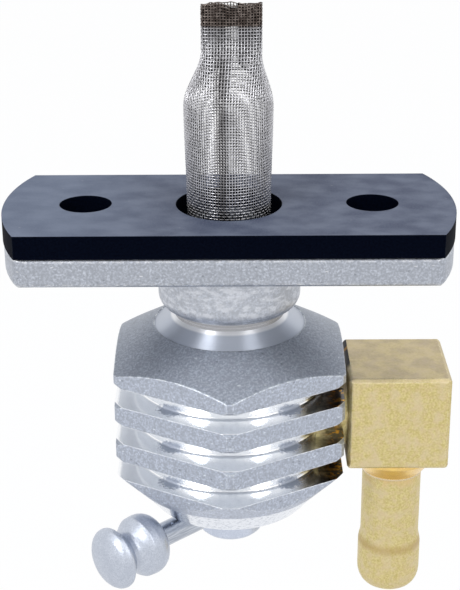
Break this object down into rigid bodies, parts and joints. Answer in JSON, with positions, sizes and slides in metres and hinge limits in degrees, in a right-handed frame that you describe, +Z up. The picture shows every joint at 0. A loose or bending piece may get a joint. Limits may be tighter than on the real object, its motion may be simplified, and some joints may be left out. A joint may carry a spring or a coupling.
{
  "type": "fuel tap",
  "caption": "Flanged fuel tap with a woven filter sock, a finned hexagon body, a quarter-turn lever with a turned knob, and a brass elbow with a barbed hose tail.",
  "frame": {"origin": "centre of the gasket's top face, on the common axis of the filter and the valve, midway between the two bolt holes", "axes": "+Z up along the axis into the tank, +X along the flange towards the elbow and hose tail, -Y to the front corner of the hexagon"},
  "size_m": [0.0535, 0.0319, 0.0761],
  "materials": {
    "filter_mesh": "woven stainless wire cloth",
    "gasket_rubber": "matt moulded rubber with dust",
    "flange_metal": "machined and polished edges",
    "seal_fibre": "pressed fibre",
    "body_metal": "tumbled, with turned grooves",
    "spool_metal": "fine turned",
    "ring_rubber": "smooth rubber",
    "seat_plastic": "machined plastic",
    "spring_steel": "blackened spring steel",
    "lever_steel": "polished drawn rod",
    "knob_metal": "satin turned",
    "elbow_brass": "tumbled brass",
    "tail_brass": "tumbled brass with a turned collar"
  },
  "bodies": {
    "tap": {"filter_screen": "filter_mesh", "flange_gasket": "gasket_rubber", "flange_plate": "flange_metal", "neck_seal": "seal_fibre", "valve_body": "body_metal", "port_seat": "seat_plastic", "stop_pin": "lever_steel", "thrust_washer": "seat_plastic", "retaining_ring": "spring_steel", "elbow_block": "elbow_brass", "hose_tail": "tail_brass"},
    "lever": {"valve_spool": "spool_metal", "spool_ring_upper": "ring_rubber", "spool_ring_lower": "ring_rubber", "lever_rod": "lever_steel", "lever_knob": "knob_metal"}
  },
  "joints": [
    {"name": "lever_turn", "type": "hinge", "parent": "tap", "child": "lever", "pos_m": [0, 0, -0.0407], "axis": [0, 0, 1], "range_deg": [-43, 47]}
  ]
}
